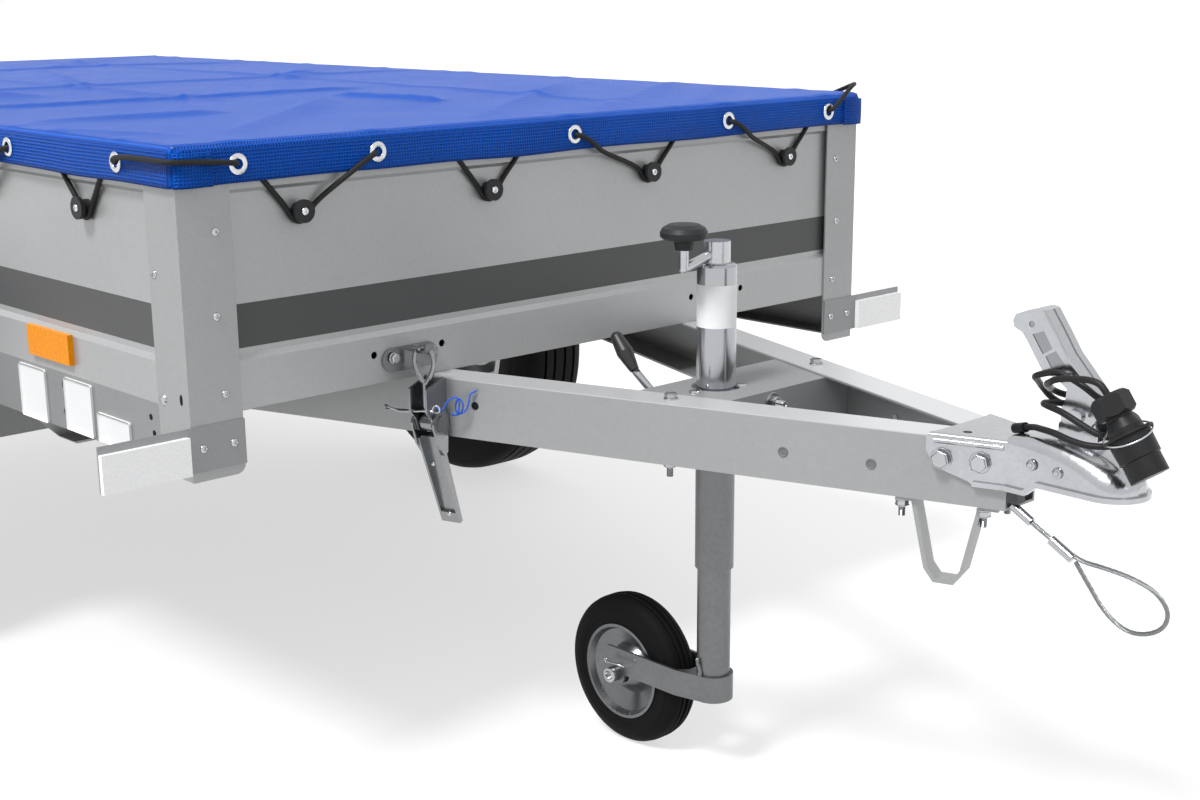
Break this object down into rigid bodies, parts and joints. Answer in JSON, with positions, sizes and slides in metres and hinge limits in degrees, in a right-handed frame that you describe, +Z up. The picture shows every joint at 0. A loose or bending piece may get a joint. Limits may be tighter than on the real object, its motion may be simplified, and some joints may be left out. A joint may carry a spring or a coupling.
{
  "type": "tipping utility trailer with a tarpaulin cover",
  "caption": "Single-axle galvanised utility trailer with a tipping box, flat tarpaulin, V drawbar, jockey wheel and ball coupling.",
  "frame": {"origin": "on the ground under the middle of the trailer's length and width", "axes": "+X forwards to the coupling, +Y to the trailer's left, +Z up"},
  "size_m": [3.0166, 1.55, 0.8253],
  "materials": {
    "galvanised": "dull galvanised sheet",
    "bright_zinc": "bright zinc plated",
    "wheel_silver": "silver paint",
    "tyre_rubber": "black rubber",
    "black_plastic": "black plastic",
    "plug_plastic": "black plastic",
    "cord_black": "black sheath",
    "steel_rope": "stranded wire",
    "cover_blue": "coated woven fabric",
    "plywood": "brown film-faced board",
    "lens_white": "white reflector",
    "lens_orange": "orange reflector",
    "lamp_red": "red lamp lens"
  },
  "bodies": {
    "drawbar": {"arm_left": "galvanised", "arm_right": "galvanised", "cross_bearer": "galvanised", "jockey_plate": "galvanised", "jockey_clamp": "bright_zinc", "clamp_handle": "bright_zinc", "coupling_head": "bright_zinc", "coupling_cup": "bright_zinc", "coupling_handle": "bright_zinc", "v_strap": "bright_zinc", "rope_block": "black_plastic", "tilt_pins": "bright_zinc", "latch_lever": "bright_zinc", "latch_base": "bright_zinc", "lead_cable": "cord_black", "lead_plug": "plug_plastic", "lead_gland": "black_plastic", "safety_rope": "steel_rope", "rope_ferrule": "bright_zinc", "rope_crimp": "bright_zinc"},
    "bed": {"side_beam_left": "galvanised", "side_beam_right": "galvanised", "cross_members": "galvanised", "floor_panel": "plywood", "front_wall": "galvanised", "side_wall_left": "galvanised", "side_wall_right": "galvanised", "front_posts": "galvanised", "rear_posts": "galvanised", "cover": "cover_blue", "cover_rear_flap": "cover_blue", "lacing_knobs": "black_plastic", "front_brackets": "galvanised", "front_lenses": "lens_white", "side_lenses": "lens_orange", "mudguard_left": "black_plastic", "mudguard_right": "black_plastic", "axle_beam": "galvanised", "swing_arms": "galvanised", "rear_lamps": "lamp_red", "lamp_bar": "galvanised", "gate_hinges": "bright_zinc", "latch_keeper": "bright_zinc"},
    "gate": {"tailgate": "galvanised", "gate_latches": "bright_zinc"},
    "wheel_left": {"tyre_left": "tyre_rubber", "rim_left": "wheel_silver", "hub_left": "galvanised"},
    "wheel_right": {"tyre_right": "tyre_rubber", "rim_right": "wheel_silver", "hub_right": "galvanised"},
    "jockey_tube": {"jockey_outer": "bright_zinc", "jockey_crank": "bright_zinc", "jockey_knob": "black_plastic"},
    "jockey_leg": {"jockey_inner": "galvanised", "jockey_fork": "galvanised"},
    "jockey_wheel": {"jockey_tyre": "tyre_rubber", "jockey_rim": "wheel_silver"}
  },
  "joints": [
    {"name": "bed_tilt", "type": "hinge", "parent": "drawbar", "child": "bed", "pos_m": [-0.196, 0, 0.47075], "axis": [0, -1, 0], "range_deg": [0, 20]},
    {"name": "gate_hinge", "type": "hinge", "parent": "bed", "child": "gate", "pos_m": [-1.46, 0, 0.522], "axis": [0, -1, 0], "range_deg": [0, 100], "deforming": ["cover_rear_flap"]},
    {"name": "wheel_left_spin", "type": "hinge", "parent": "bed", "child": "wheel_left", "pos_m": [-0.423, 0.679, 0.28], "axis": [0, 1, 0], "continuous": true},
    {"name": "wheel_right_spin", "type": "hinge", "parent": "bed", "child": "wheel_right", "pos_m": [-0.423, -0.679, 0.28], "axis": [0, 1, 0], "continuous": true},
    {"name": "jockey_lift", "type": "slide", "parent": "drawbar", "child": "jockey_tube", "axis": [0, 0, 1], "range_m": [-0.09, 0.2]},
    {"name": "jockey_swivel", "type": "hinge", "parent": "jockey_tube", "child": "jockey_leg", "pos_m": [0.93, -0.036, 0.1], "axis": [0, 0, 1], "continuous": true},
    {"name": "jockey_spin", "type": "hinge", "parent": "jockey_leg", "child": "jockey_wheel", "pos_m": [0.787, -0.036, 0.1], "axis": [0, 1, 0], "continuous": true}
  ]
}
